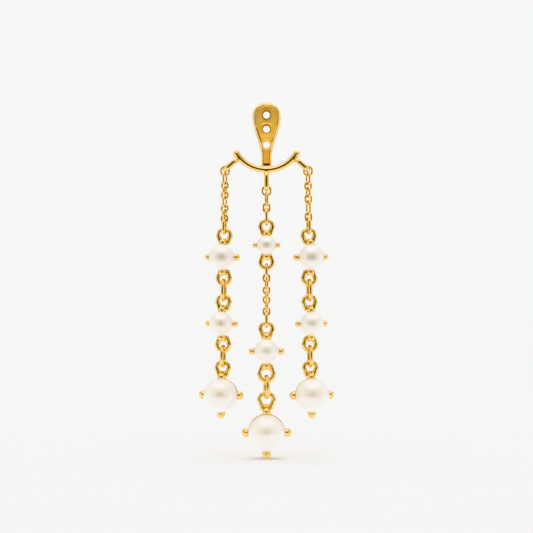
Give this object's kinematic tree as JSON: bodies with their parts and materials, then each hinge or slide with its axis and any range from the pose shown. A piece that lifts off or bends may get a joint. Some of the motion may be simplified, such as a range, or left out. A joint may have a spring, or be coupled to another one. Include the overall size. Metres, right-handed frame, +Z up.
{
  "type": "ear jacket earring",
  "caption": "Ear jacket earring: a dished plate with post holes carries a crescent bar, from which three strands of cable chain, pearl settings and jump rings hang.",
  "frame": {"origin": "the axis of the middle post hole, half way through the plate's wall, where the jacket hangs on an earring post", "axes": "+Z up along the hanging strands, -Y the front that faces the viewer, +X to the viewer's right"},
  "size_m": [0.0214, 0.0065, 0.0568],
  "materials": {
    "polished_gold": "polished gold plating",
    "pearl": "satin pearl lustre"
  },
  "bodies": {
    "root": {"jacket_frame": "polished_gold", "chain_left": "polished_gold", "chain_right": "polished_gold", "chain_centre_upper": "polished_gold", "chain_centre_lower": "polished_gold", "setting_left_upper": "polished_gold", "setting_left_middle": "polished_gold", "setting_left_lower": "polished_gold", "setting_right_upper": "polished_gold", "setting_right_middle": "polished_gold", "setting_right_lower": "polished_gold", "setting_centre_upper": "polished_gold", "setting_centre_middle": "polished_gold", "setting_centre_lower": "polished_gold", "pearl_left_upper": "pearl", "pearl_left_middle": "pearl", "pearl_left_lower": "pearl", "pearl_right_upper": "pearl", "pearl_right_middle": "pearl", "pearl_right_lower": "pearl", "pearl_centre_upper": "pearl", "pearl_centre_middle": "pearl", "pearl_centre_lower": "pearl", "jump_ring_left_upper": "polished_gold", "jump_ring_left_lower": "polished_gold", "jump_ring_right_upper": "polished_gold", "jump_ring_right_lower": "polished_gold", "jump_ring_centre": "polished_gold"}
  },
  "joints": []
}
